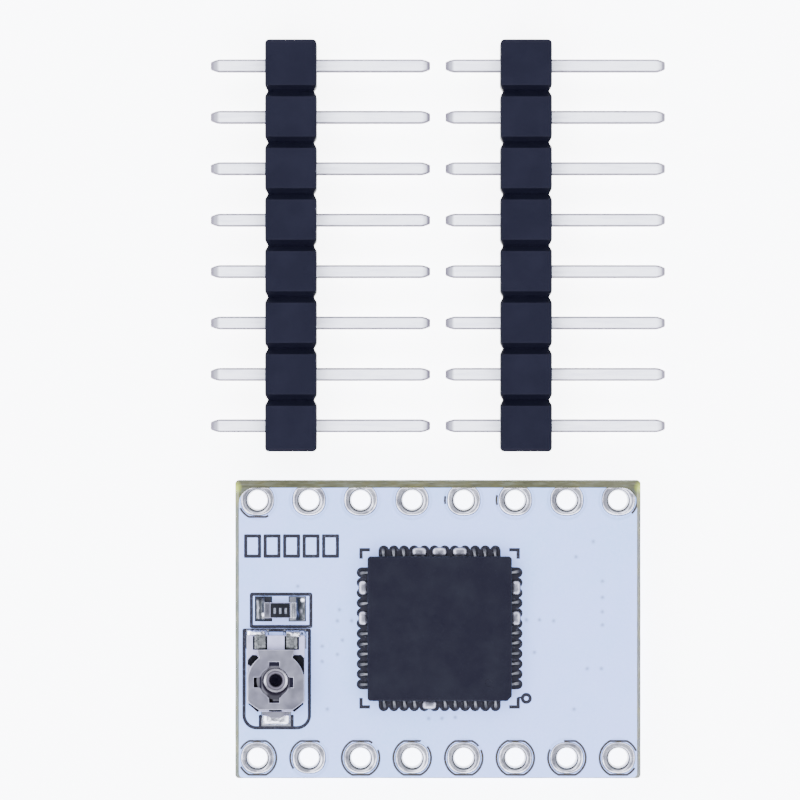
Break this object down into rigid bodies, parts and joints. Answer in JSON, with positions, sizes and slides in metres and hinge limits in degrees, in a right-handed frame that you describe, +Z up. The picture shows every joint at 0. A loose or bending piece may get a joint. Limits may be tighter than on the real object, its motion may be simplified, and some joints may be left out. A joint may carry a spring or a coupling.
{
  "type": "stepper motor driver module",
  "caption": "Small white driver board with a square leadless chip, a current trimmer, two rows of plated holes and two loose pin headers beside it.",
  "frame": {"origin": "centre of the two rows of header holes, on the board's underside", "axes": "+X along the hole rows, +Y across them towards the two loose headers, +Z up out of the board's chip side"},
  "size_m": [0.0224, 0.0365, 0.0035],
  "materials": {
    "laminate": "cut glass-fibre laminate",
    "solder_mask": "white solder mask, satin gloss",
    "tin": "hot-dipped tin, bright and uneven",
    "legend_ink": "printed dark ink",
    "chip_epoxy": "moulded epoxy, fine grain",
    "copper": "plain copper",
    "silicon": "polished silicon",
    "gold_wire": "drawn gold wire",
    "solder": "shiny solder",
    "white_ceramic": "fired alumina",
    "resistive_film": "fired black film",
    "nickel": "stamped nickel-plated steel",
    "spring_bronze": "rolled spring bronze",
    "glass_coat": "black glass coat",
    "end_metal": "tinned end metal",
    "capacitor_ceramic": "fired tan ceramic",
    "header_plastic": "moulded black plastic",
    "pin_metal": "bright tin on square wire"
  },
  "bodies": {
    "board": {"board_laminate": "laminate", "solder_mask_top": "solder_mask", "solder_mask_bottom": "solder_mask", "board_eyelets": "tin", "copper_lands_top": "tin", "copper_lands_bottom": "tin", "chip_contacts": "tin", "legend_print": "legend_ink", "chip_body": "chip_epoxy", "chip_die_pad": "copper", "chip_die": "silicon", "chip_bond_wires": "gold_wire", "chip_solder": "solder", "trimmer_solder": "solder", "resistor_solder": "solder", "underside_solder": "solder", "trimmer_base": "white_ceramic", "resistor_core": "white_ceramic", "trimmer_track": "resistive_film", "trimmer_terminal_left": "nickel", "trimmer_terminal_right": "nickel", "trimmer_wiper_terminal": "nickel", "resistor_coat": "glass_coat", "sense_resistor_a": "glass_coat", "sense_resistor_b": "glass_coat", "small_resistor_1": "glass_coat", "small_resistor_2": "glass_coat", "small_resistor_3": "glass_coat", "small_resistor_4": "glass_coat", "resistor_cap_left": "end_metal", "resistor_cap_right": "end_metal", "underside_end_caps": "end_metal", "capacitor_1": "capacitor_ceramic", "capacitor_2": "capacitor_ceramic", "capacitor_3": "capacitor_ceramic", "capacitor_4": "capacitor_ceramic"},
    "trimmer_rotor": {"trimmer_wiper_spring": "spring_bronze", "trimmer_drive_plate": "nickel"},
    "header_left": {"header_left_strip": "header_plastic", "header_left_pin_1": "pin_metal", "header_left_pin_2": "pin_metal", "header_left_pin_3": "pin_metal", "header_left_pin_4": "pin_metal", "header_left_pin_5": "pin_metal", "header_left_pin_6": "pin_metal", "header_left_pin_7": "pin_metal", "header_left_pin_8": "pin_metal"},
    "header_right": {"header_right_strip": "header_plastic", "header_right_pin_1": "pin_metal", "header_right_pin_2": "pin_metal", "header_right_pin_3": "pin_metal", "header_right_pin_4": "pin_metal", "header_right_pin_5": "pin_metal", "header_right_pin_6": "pin_metal", "header_right_pin_7": "pin_metal", "header_right_pin_8": "pin_metal"}
  },
  "joints": [
    {"name": "trimmer_turn", "type": "hinge", "parent": "board", "child": "trimmer_rotor", "pos_m": [-0.00797, -0.0025, 0.0025], "axis": [0, 0, 1], "range_deg": [-115, 115]},
    {"name": "header_left_lift", "type": "slide", "parent": "board", "child": "header_left", "axis": [0, 0, 1], "range_m": [0, 0.015]},
    {"name": "header_right_lift", "type": "slide", "parent": "board", "child": "header_right", "axis": [0, 0, 1], "range_m": [0, 0.015]}
  ]
}
